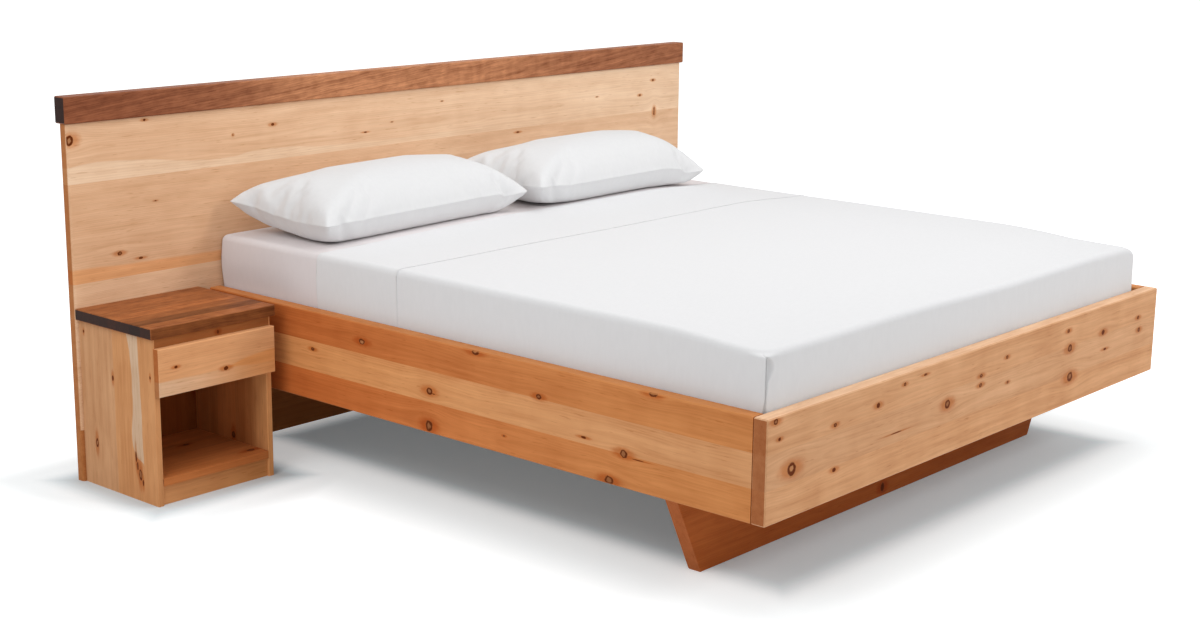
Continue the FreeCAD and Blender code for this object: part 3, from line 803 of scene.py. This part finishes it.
def rounded_block(low, high, corner, rim, corner_steps=10, rim_steps=8):
    """A bmesh box with round upright corners and round rims."""
    bm = bmesh.new()
    bmesh.ops.create_cube(bm, size=1.0)
    bmesh.ops.scale(bm, vec=high - low, verts=bm.verts)
    bmesh.ops.translate(bm, vec=(low + high) / 2, verts=bm.verts)

    def is_upright(edge):
        return abs(edge.verts[0].co.z - edge.verts[1].co.z) > 1e-6

    def soften(edges, radius, steps):
        bmesh.ops.bevel(bm, geom=edges, offset=radius, offset_type="OFFSET", segments=steps, profile=0.5,
                        affect="EDGES", material=-1, clamp_overlap=False)

    soften([edge for edge in bm.edges if is_upright(edge)], corner, corner_steps)
    soften([edge for edge in bm.edges if not is_upright(edge)
            and len(edge.link_faces) == 2 and edge.calc_face_angle() > 1.0], rim, rim_steps)
    return bm


def cut(bm, axis, place, **cleared):
    """Cuts a bmesh at a plane square to one axis, and may clear away its outer or inner side."""
    normal = Vector((0.0, 0.0, 0.0))
    normal[axis] = 1.0
    geom = bm.verts[:] + bm.edges[:] + bm.faces[:]
    bmesh.ops.bisect_plane(bm, geom=geom, dist=1e-6, plane_co=normal * place, plane_no=normal, **cleared)


def slice_at(bm, axis, places):
    """Cuts a bmesh along planes square to one axis."""
    for place in places:
        cut(bm, axis, place)


def even_places(low, high, step):
    """Places between two ends, about one step apart."""
    count = max(2, round((high - low) / step))
    return [low + (high - low) * number / count for number in range(1, count)]


def ease(low, high, value):
    """A smooth step from nought at the first value to one at the second."""
    share = min(1.0, max(0.0, (value - low) / (high - low)))
    return share * share * (3.0 - 2.0 * share)


def slice_level(bm, low, high, cell):
    """Cuts a block into cells along the bed and across it, between its roundings."""
    margin = CORNER_ROUND + 0.005
    for axis in (0, 1):
        slice_at(bm, axis, even_places(low[axis] + margin, high[axis] - margin, cell))


def sheet_shell(out, floor_at, cell):
    """The skin of the mattress block, a little way out, open below."""
    spread = Vector((out, out, 0.0))
    below = 0.05
    low = Vector((mattress_low.x, mattress_low.y, mattress_low.z - below)) - spread
    high = Vector((mattress_high.x, mattress_high.y, mattress_high.z + out)) + spread
    bm = rounded_block(low, high, CORNER_ROUND + out, EDGE_ROUND + out, 28, 10)
    cut(bm, 2, floor_at, clear_inner=True)
    slice_level(bm, low, high, cell)
    slice_at(bm, 2, even_places(floor_at, high.z - 0.04, cell))
    return bm


def settle(bm):
    """Lets the bedding sag towards its right and foot edges and bulge a little over the left rail."""
    right_sag = 0.015
    foot_sag = 0.011
    foot_roll = 0.012
    dimple = 0.0025
    bulge = 0.007
    corner_slump = 0.026
    rail_top = 0.50
    for vert in bm.verts:
        x, y, z = vert.co
        to_right = ease(mattress_high.x - 0.40, mattress_high.x, x)
        to_foot = ease(mattress_low.y + 0.32, mattress_low.y, y)
        roll = noise.noise(Vector((x * 1.6, y * 1.6, 3.0)))
        sag = right_sag * to_right + (foot_sag + foot_roll * roll) * to_foot + dimple * (roll + 0.5)
        vert.co.z -= sag * ease(rail_top, 0.64, z)
        side = ease(mattress_low.x + 0.10, mattress_low.x, x) * ease(rail_top, 0.56, z) * ease(0.66, 0.60, z)
        vert.co.x -= bulge * side * ease(0.2, 0.9, y)
        far_corner = ease(mattress_high.x - 0.09, mattress_high.x, x)
        far_corner *= ease(mattress_low.y + 0.5, mattress_low.y, y)
        vert.co.z -= corner_slump * far_corner * ease(0.58, 0.66, z)


def square_corners(bm, out):
    """Pushes both corners at the head out towards square."""
    squareness = 0.85
    radius = CORNER_ROUND + out
    middle_y = mattress_high.y + out - radius
    for side, edge_x in ((-1, mattress_low.x - out), (1, mattress_high.x + out)):
        middle_x = edge_x - side * radius
        for vert in bm.verts:
            reach = Vector(((vert.co.x - middle_x) * side, vert.co.y - middle_y))
            if min(reach) <= 0.0 or reach.length < 0.5 * radius:
                continue
            fill = 1.0 + squareness * (reach.length / max(reach) - 1.0)
            vert.co.x = middle_x + side * reach.x * fill
            vert.co.y = middle_y + reach.y * fill


def fold_corner(bm, out):
    """Draws the sheet past the left corner at the foot into an upright pleat, as a bed is made by hand."""
    radius = CORNER_ROUND + out
    edge_x = mattress_low.x - out
    edge_y = mattress_low.y - out
    turn = 0.45
    groove = 0.003
    arch_from, arch_height = 0.622, 0.024
    for vert in bm.verts:
        inward = vert.co.x - edge_x
        depth = vert.co.y - edge_y
        if inward > radius or depth > radius:
            continue
        share = math.atan2(radius - depth, radius - inward) / (math.pi / 2)
        if share < turn:
            proud = 0.007 * ease(0.505, 0.535, vert.co.z)
            goal = (0.0, radius - share / turn * (radius + proud))
        else:
            back = ((share - turn) / (1.0 - turn)) ** 1.3
            arch = math.sqrt(max(0.0, 1.0 - (max(0.0, vert.co.z - arch_from) / arch_height) ** 2))
            width = 0.008 + 0.026 * arch * ease(0.57, arch_from, vert.co.z)
            pocket = 1.0 - ease(0.4 * width, width, back * radius)
            goal = (groove + back * (radius - groove), 0.013 * pocket + groove * (1.0 - back) ** 2)
        weight = ease(0.656, 0.648, vert.co.z)
        vert.co.x += (goal[0] - inward) * weight
        vert.co.y += (goal[1] - depth) * weight


def ruck(bm, seed, height):
    """Small upright creases where a sheet is tucked down inside the rails."""
    bm.normal_update()
    moves = []
    for vert in bm.verts:
        x, y, z = vert.co
        low = ease(0.60, 0.47, z)
        corner = ease(0.20, 0.0, x - mattress_low.x) * ease(0.22, 0.0, y - mattress_low.y)
        fold = noise.noise(Vector(((x + y) * 34.0, (x - y) * 34.0, z * 5.0 + seed)))
        soft = noise.noise(Vector(((x + y) * 7.0, (x - y) * 7.0, z * 4.0 + seed)))
        lift = max(0.0, fold) * (0.5 + 1.2 * corner) + max(0.0, soft)
        moves.append((vert, vert.normal * height * low * lift))
    for vert, move in moves:
        vert.co += move


def slant_fold(bm):
    """Draws the turned-down edge of the flat sheet a little towards the foot on the left."""
    for vert in bm.verts:
        x, y, z = vert.co
        pull = -0.070 + 0.057 * ease(mattress_low.x + 0.02, mattress_low.x + 0.9, x)
        vert.co.y += pull * ease(0.42, FOLD, y)
        near_hem = ease(0.06, 0.0, abs(y - HEM))
        vert.co.y += 0.005 * near_hem * noise.noise(Vector((x * 2.2, 0.0, 5.0)))


def lift_hem(bm):
    """Raises the cuff's free edge a little off the sheet under it."""
    lift = 0.0013
    bm.normal_update()
    for vert in bm.verts:
        if vert.is_boundary and abs(vert.co.y - HEM) < ON_LINE:
            vert.co += vert.normal * lift


def thicken(piece, thickness):
    """Gives a sheet its cloth's thickness, outwards."""
    solid = piece.modifiers.new("Thickness", "SOLIDIFY")
    solid.thickness = thickness
    solid.offset = 1.0


class BED_OT_make_mattress(bpy.types.Operator):
    """Makes the mattress under the sheets"""

    bl_idname = "bed.make_mattress"
    bl_label = "Make mattress"

    def execute(self, context):
        linen = context.scene.bed_linen
        skin = Vector((0.0015, 0.0015, 0.0))
        bm = rounded_block(mattress_low + skin, mattress_high - skin - Vector((0, 0, 0.002)),
                           CORNER_ROUND, EDGE_ROUND)
        cell = 0.05
        slice_level(bm, mattress_low, mattress_high, cell)
        slice_at(bm, 2, even_places(mattress_low.z + cell, mattress_high.z - cell, cell))
        square_corners(bm, -skin.x)
        settle(bm)
        material = cloth_finish("ticking", linen.ticking, 0.002)
        piece = new_piece("mattress_pad", bm, material)
        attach(piece, "frame")
        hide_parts("mattress")
        return {"FINISHED"}


class BED_OT_make_fitted_sheet(bpy.types.Operator):
    """Makes the fitted sheet stretched over the mattress"""

    bl_idname = "bed.make_fitted_sheet"
    bl_label = "Make fitted sheet"

    def execute(self, context):
        linen = context.scene.bed_linen
        bm = sheet_shell(FITTED_OUT, FITTED_EDGE, linen.cell)
        square_corners(bm, FITTED_OUT)
        settle(bm)
        material = cloth_finish("fitted_linen", linen.fitted, 0.004)
        piece = new_piece("fitted_sheet_cloth", bm, material)
        thicken(piece, linen.sheet_thickness)
        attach(piece, "frame")
        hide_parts("fitted_sheet")
        return {"FINISHED"}


class BED_OT_make_flat_sheet(bpy.types.Operator):
    """Makes the flat sheet with its turned-down cuff and a folded corner at the left of the foot"""

    bl_idname = "bed.make_flat_sheet"
    bl_label = "Make flat sheet"

    def execute(self, context):
        linen = context.scene.bed_linen
        bm = sheet_shell(SHEET_OUT, SHEET_EDGE, linen.cell)
        cut(bm, 1, FOLD, clear_outer=True)
        slice_at(bm, 1, (FOLD - 0.008, FOLD - 0.002))
        slice_at(bm, 2, even_places(0.580, 0.648, 0.004))
        fold_corner(bm, SHEET_OUT)
        cuff = sheet_shell(CUFF_OUT, SHEET_EDGE, linen.cell)
        cut(cuff, 1, FOLD, clear_outer=True)
        cut(cuff, 1, HEM, clear_inner=True)
        slice_at(cuff, 1, (FOLD - 0.008, FOLD - 0.002, HEM + 0.002, HEM + 0.012))
        lift_hem(cuff)
        loose = bpy.data.meshes.new("cuff")
        cuff.to_mesh(loose)
        cuff.free()
        bm.from_mesh(loose)
        bpy.data.meshes.remove(loose)
        rims = [edge for edge in bm.edges if edge.is_boundary
                and all(abs(vert.co.y - FOLD) < ON_LINE for vert in edge.verts)]
        bmesh.ops.bridge_loops(bm, edges=rims)
        bmesh.ops.recalc_face_normals(bm, faces=bm.faces)
        slant_fold(bm)
        settle(bm)
        ruck(bm, 4.0, 0.0024)
        material = cloth_finish("flat_linen", linen.linen, 0.004)
        piece = new_piece("flat_sheet_cloth", bm, material)
        thicken(piece, linen.sheet_thickness)
        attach(piece, "frame")
        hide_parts("flat_sheet")
        return {"FINISHED"}


def pillow_case(width, depth, cells):
    """Two flat layers of cloth sewn together round their rims, with each point's flat place kept."""
    bm = bmesh.new()
    flat = bm.verts.layers.float_vector.new("flat")
    columns = round(cells * width / depth)
    bmesh.ops.create_grid(bm, x_segments=columns, y_segments=cells, size=0.5)
    bmesh.ops.scale(bm, vec=(width, depth, 1.0), verts=bm.verts)
    under = bmesh.ops.duplicate(bm, geom=bm.verts[:] + bm.edges[:] + bm.faces[:])["geom"]
    bmesh.ops.reverse_faces(bm, faces=[part for part in under if isinstance(part, bmesh.types.BMFace)])
    lower = {part for part in under if isinstance(part, bmesh.types.BMVert)}
    for vert in bm.verts:
        inside = min(width / 2 - abs(vert.co.x), depth / 2 - abs(vert.co.y))
        vert[flat] = (vert.co.x, vert.co.y, inside)
        lift = min(0.004, max(0.0, inside))
        vert.co.z = -lift if vert in lower else lift
    bmesh.ops.remove_doubles(bm, verts=bm.verts, dist=0.0005)
    return bm


def stuff_pillow(piece, ground):
    """Blows the case up with Blender's cloth, over the mattress, and keeps the result."""
    scene = bpy.context.scene
    bm = bmesh.new()
    bmesh.ops.create_grid(bm, x_segments=2, y_segments=2, size=1.5)
    bmesh.ops.translate(bm, vec=(0.0, 0.0, ground), verts=bm.verts)
    bed_top = new_piece("pillow_bed_top", bm, None)
    bed_top.modifiers.new("Collision", "COLLISION")
    bed_top.collision.thickness_outer = 0.002
    bed_top.collision.cloth_friction = 20.0
    cloth = piece.modifiers.new("Cloth", "CLOTH")
    cotton = {
        "quality": 6, "mass": 0.12, "air_damping": 2.0, "tension_stiffness": 40.0,
        "compression_stiffness": 25.0, "shear_stiffness": 12.0, "bending_stiffness": 0.25,
        "tension_damping": 10.0, "compression_damping": 10.0, "use_pressure": True,
        "uniform_pressure_force": 7.0}
    for name, value in cotton.items():
        setattr(cloth.settings, name, value)
    cloth.settings.effector_weights.gravity = 0.4
    cloth.collision_settings.use_self_collision = False
    cloth.collision_settings.distance_min = 0.003
    cloth.collision_settings.collision_quality = 3
    steps = 45
    cloth.point_cache.frame_start = 1
    cloth.point_cache.frame_end = steps
    for step in range(1, steps + 1):
        scene.frame_set(step)
    graph = bpy.context.evaluated_depsgraph_get()
    blown = bpy.data.meshes.new_from_object(piece.evaluated_get(graph))
    piece.modifiers.remove(cloth)
    piece.data = blown
    bpy.data.objects.remove(bed_top)
    scene.frame_set(1)


def lay_pillow(bm, low, high, corners):
    """Sets a stuffed pillow down in its place, with three of its corners where they belong.

    The corners are the front left, the front right and the back left one, as the pillow lies.
    """
    flat = bm.verts.layers.float_vector["flat"]
    places = [Vector(corner) for corner in corners]
    sides = ((-1, -1), (1, -1), (-1, 1))
    bottom = min(vert.co.z for vert in bm.verts)
    top = max(vert.co.z for vert in bm.verts)
    half_x = max(vert[flat].x for vert in bm.verts)
    half_y = max(vert[flat].y for vert in bm.verts)
    tuck_x = 0.12
    tuck_y = 0.19
    fullness = 1.5
    rims = [vert for vert in bm.verts if vert[flat].z < ON_LINE]
    seam = sum(vert.co.z for vert in rims) / len(rims)
    ends = []
    for side in sides:
        goal = Vector((side[0] * half_x, side[1] * half_y))
        ends.append(min(rims, key=lambda vert: (vert[flat].xy - goal).length).co.copy())
    run = (places[1] - places[0]).xy
    stretch = run.length / (ends[1].x - ends[0].x)
    deepen = (places[2] - places[0]).xy.length / (ends[2].y - ends[0].y)
    raise_by = (high.z - low.z) / (top - bottom)
    for vert in bm.verts:
        drop = min(1.0, (seam - vert.co.z) / (seam - bottom))
        if drop > 0.0:
            vert.co.z = seam - (seam - bottom) * (1.0 - (1.0 - drop) ** fullness)
            vert.co.x *= 1.0 - tuck_x * drop
            vert.co.y *= 1.0 - tuck_y * drop
        vert.co.z = low.z + (vert.co.z - bottom) * raise_by
    turn = Matrix.Rotation(math.atan2(run.y, run.x), 2)
    anchor = Vector((ends[0].x * stretch, ends[0].y * deepen))
    lifts = [place.z - low.z - (end.z - bottom) * raise_by for place, end in zip(places, ends)]
    for vert in bm.verts:
        across, along = vert[flat].x / half_x, vert[flat].y / half_y
        for lift, side in zip(lifts, sides):
            vert.co.z += lift * ease(0.45, 1.0, across * side[0]) * ease(-0.6, 1.0, along * side[1])
        vert.co.z = max(low.z, vert.co.z)
        vert.co.xy = places[0].xy + turn @ (Vector((vert.co.x * stretch, vert.co.y * deepen)) - anchor)


def gather_pillow(bm, seed):
    """Draws in small creases from the seams and raises a welt along them."""
    crease = 0.0035
    welt = 0.0035
    welt_width = 0.0045
    flat = bm.verts.layers.float_vector["flat"]
    half_x = max(vert[flat].x for vert in bm.verts)
    bm.normal_update()
    for vert in bm.verts:
        at = vert[flat]
        near = math.exp(-at.z / 0.05) * ease(0.0, 0.02, at.z)
        at_end = ease(half_x - 0.22, half_x, abs(at.x))
        wave = noise.noise(Vector((at.x * (22.0 - 12.0 * at_end), at.y * (10.0 + 24.0 * at_end), seed)))
        vert.co += vert.normal * crease * near * (0.5 + at_end) * wave
    seams = [edge for edge in bm.edges if all(vert[flat].z < ON_LINE for vert in edge.verts)]
    made = bmesh.ops.bevel(bm, geom=seams, offset=welt_width, offset_type="OFFSET", segments=2, profile=0.5,
                           affect="EDGES", material=-1, clamp_overlap=True)
    strips = set(made["faces"])
    bm.normal_update()
    ridge = [vert for vert in made["verts"] if all(face in strips for face in vert.link_faces)]
    for vert in ridge:
        vert.co += vert.normal * welt


class BED_OT_make_pillows(bpy.types.Operator):
    """Sews, stuffs and lays the two pillows"""

    bl_idname = "bed.make_pillows"
    bl_label = "Make pillows"

    def execute(self, context):
        linen = context.scene.bed_linen
        material = cloth_finish("pillow_linen", linen.pillow_linen, 0.003)
        places = {
            "left": ((-0.806, 0.562, 0.735), (0.104, 0.628, 0.728), (-0.848, 0.976, 0.766)),
            "right": ((0.105, 0.575, 0.745), (0.988, 0.598, 0.706), (0.090, 0.968, 0.770))}
        for number, (side, corners) in enumerate(places.items()):
            low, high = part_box("pillow_" + side)
            piece = new_piece(f"pillow_{side}_case", pillow_case(
                linen.pillow_width, linen.pillow_depth, linen.pillow_cells), None)
            stuff_pillow(piece, -0.10)
            bm = bmesh.new()
            bm.from_mesh(piece.data)
            lay_pillow(bm, low, high, corners)
            gather_pillow(bm, 3.0 + 8.0 * number)
            bm.to_mesh(piece.data)
            bm.free()
            piece.data.materials.clear()
            piece.data.materials.append(material)
            piece.data.shade_smooth()
            smooth = piece.modifiers.new("Subdivision", "SUBSURF")
            smooth.levels = 1
            smooth.render_levels = 1
            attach(piece, "frame")
            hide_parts("pillow_" + side)
        return {"FINISHED"}


# Stage

class BED_OT_set_stage(bpy.types.Operator):
    """Lays the floor, hangs the lamps and sets up the camera"""

    bl_idname = "bed.set_stage"
    bl_label = "Set stage"

    def execute(self, context):
        stage = context.scene.bed_stage
        make_floor(stage)
        make_sky(stage)
        make_lamp("overhead_lamp", (0.6, -0.5, 3.6), (0.3, 0.0, 0.4), 2.6, stage.overhead)
        make_lamp("side_lamp", (-3.1, 0.0, 2.9), (0.0, 0.1, 0.4), 1.8, stage.side)
        make_lamp("front_lamp", (2.9, -6.0, 4.5), (0.0, 0.0, 0.4), 1.5, stage.front)
        make_camera(stage)
        context.scene.view_settings.view_transform = "Standard"
        return {"FINISHED"}


def seen_directly(nodes):
    """One where the camera, a reflection or a clear body sees a surface, and nought for its light."""
    path = nodes.add("ShaderNodeLightPath")
    either = nodes.largest(path.outputs["Is Camera Ray"], path.outputs["Is Glossy Ray"])
    return nodes.largest(either, path.outputs["Is Transmission Ray"])


def painted_floor_shadow(nodes, x, y, middle, half, dark, reach):
    """A painted shadow on the floor: the floor's glow, dim at and round the foot of something standing on it
    and bright beyond.
    """
    beyond = [nodes.minus(nodes.size(nodes.minus(place, centre)), size)
              for place, centre, size in zip((x, y), middle, half)]
    away = nodes.largest(*beyond)
    painted_contact_shadow = nodes.span(away, -0.02, 0.10, dark, 0.40)
    return nodes.plus(painted_contact_shadow, nodes.span(away, 0.12, reach, 0.0, 0.45))


def make_floor(stage):
    """A wide pale floor that looks white away from the shadows, with a painted shadow in its glow under and
    round the bed and the cabinet.
    """
    bm = bmesh.new()
    bmesh.ops.create_grid(bm, x_segments=1, y_segments=1, size=40.0)
    material, nodes, shader = bare_material("studio_floor")
    shader.inputs["Roughness"].default_value = 0.9
    shader.inputs["Specular IOR Level"].default_value = 0.0
    place = nodes.add("ShaderNodeTexCoord")
    path = nodes.add("ShaderNodeLightPath")
    nodes.feed(shader.inputs["Base Color"],
               nodes.mix(path.outputs["Is Camera Ray"], opaque(stage.floor), opaque(stage.floor_seen)))
    x, y, _ = nodes.separate(place.outputs["Object"])
    # Painted shadow: the floor's glow is dim under and round the bed and the cabinet and bright beyond, and
    # its tint is cooler where the painted shadow is deep
    bed_painted_shadow = painted_floor_shadow(nodes, x, y, (0.205, 0.0), (0.845, 0.94), 0.115, 0.65)
    cabinet_painted_shadow = painted_floor_shadow(nodes, x, y, (-1.139, 0.85), (0.223, 0.20), 0.0, 0.35)
    far = nodes.math("MINIMUM", bed_painted_shadow, cabinet_painted_shadow)
    tint = nodes.mix(nodes.span(far, 0.1, 0.4), (0.88, 1.0, 1.06, 1.0), (1.0, 0.99, 0.985, 1.0))
    glow = nodes.add("ShaderNodeEmission", {"Color": tint})
    nodes.feed(glow.inputs["Strength"], nodes.times(seen_directly(nodes), far))
    both = nodes.add("ShaderNodeAddShader")
    nodes.feed(both.inputs[0], shader.outputs[0])
    nodes.feed(both.inputs[1], glow.outputs[0])
    nodes.feed(material.node_tree.nodes["Material Output"].inputs["Surface"], both.outputs[0])
    floor = new_piece("studio_floor", bm, material, smooth=False)


def make_sky(stage):
    """Even light from all round, white where it is seen."""
    world = bpy.data.worlds.new("studio_sky")
    world.use_nodes = True
    nodes = Nodes(world.node_tree)
    back = world.node_tree.nodes["Background"]
    back.inputs["Color"].default_value = (1.0, 1.0, 1.0, 1.0)
    seen = seen_directly(nodes)
    nodes.feed(back.inputs["Strength"], nodes.times_plus(seen, 1.0 - stage.sky, stage.sky))
    bpy.context.scene.world = world


def make_lamp(name, place, aim, size, power):
    """One broad square lamp."""
    light = bpy.data.lights.new(name, "AREA")
    light.shape = "SQUARE"
    light.size = size
    light.energy = power
    lamp = bpy.data.objects.new(name, light)
    lamp.location = place
    lamp.rotation_euler = (Vector(aim) - Vector(place)).to_track_quat("-Z", "Y").to_euler()
    bpy.context.scene.collection.objects.link(lamp)


def make_camera(stage):
    """The camera, beyond the left corner of the foot."""
    lens = bpy.data.cameras.new("view")
    lens.sensor_width = 36.0
    lens.lens = stage.lens
    camera = bpy.data.objects.new("view", lens)
    turn = Matrix.Rotation(stage.camera_yaw - math.pi / 2, 4, "Z")
    tilt = Matrix.Rotation(math.pi / 2 - stage.camera_pitch, 4, "X")
    lean = Matrix.Rotation(stage.camera_roll, 4, "Z")
    camera.matrix_world = Matrix.Translation(stage.camera_place) @ turn @ tilt @ lean
    bpy.context.scene.collection.objects.link(camera)
    bpy.context.scene.camera = camera


# Add-on

OPERATORS = (
    BED_OT_finish_headboard, BED_OT_finish_rails, BED_OT_finish_footboard, BED_OT_finish_leg_board,
    BED_OT_finish_base, BED_OT_finish_cabinet, BED_OT_finish_drawer, BED_OT_make_mattress,
    BED_OT_make_fitted_sheet, BED_OT_make_flat_sheet, BED_OT_make_pillows, BED_OT_set_stage)
SETTINGS = {
    "bed_wood": BedWoodSettings, "bed_linen": BedLinenSettings, "bed_stage": BedStageSettings}


class VIEW3D_PT_bed(bpy.types.Panel):
    """The bed's settings and operators"""

    bl_label = "Platform bed"
    bl_space_type = "VIEW_3D"
    bl_region_type = "UI"
    bl_category = "Bed"

    def draw(self, context):
        for name, group in SETTINGS.items():
            box = self.layout.box()
            for label in group.__annotations__:
                box.prop(getattr(context.scene, name), label)
        for operator in OPERATORS:
            self.layout.operator(operator.bl_idname)


def register():
    for group in SETTINGS.values():
        bpy.utils.register_class(group)
    for name, group in SETTINGS.items():
        setattr(bpy.types.Scene, name, PointerProperty(type=group))
    for operator in OPERATORS:
        bpy.utils.register_class(operator)
    bpy.utils.register_class(VIEW3D_PT_bed)


def unregister():
    bpy.utils.unregister_class(VIEW3D_PT_bed)
    for operator in reversed(OPERATORS):
        bpy.utils.unregister_class(operator)
    for name in SETTINGS:
        delattr(bpy.types.Scene, name)
    for group in SETTINGS.values():
        bpy.utils.unregister_class(group)


def main():
    register()
    bpy.ops.bed.finish_headboard()
    bpy.ops.bed.finish_rails()
    bpy.ops.bed.finish_footboard()
    bpy.ops.bed.finish_leg_board()
    bpy.ops.bed.finish_base()
    bpy.ops.bed.finish_cabinet()
    bpy.ops.bed.finish_drawer()
    bpy.ops.bed.make_mattress()
    bpy.ops.bed.make_fitted_sheet()
    bpy.ops.bed.make_flat_sheet()
    bpy.ops.bed.make_pillows()
    bpy.ops.bed.set_stage()


if __name__ == "__main__":
    main()
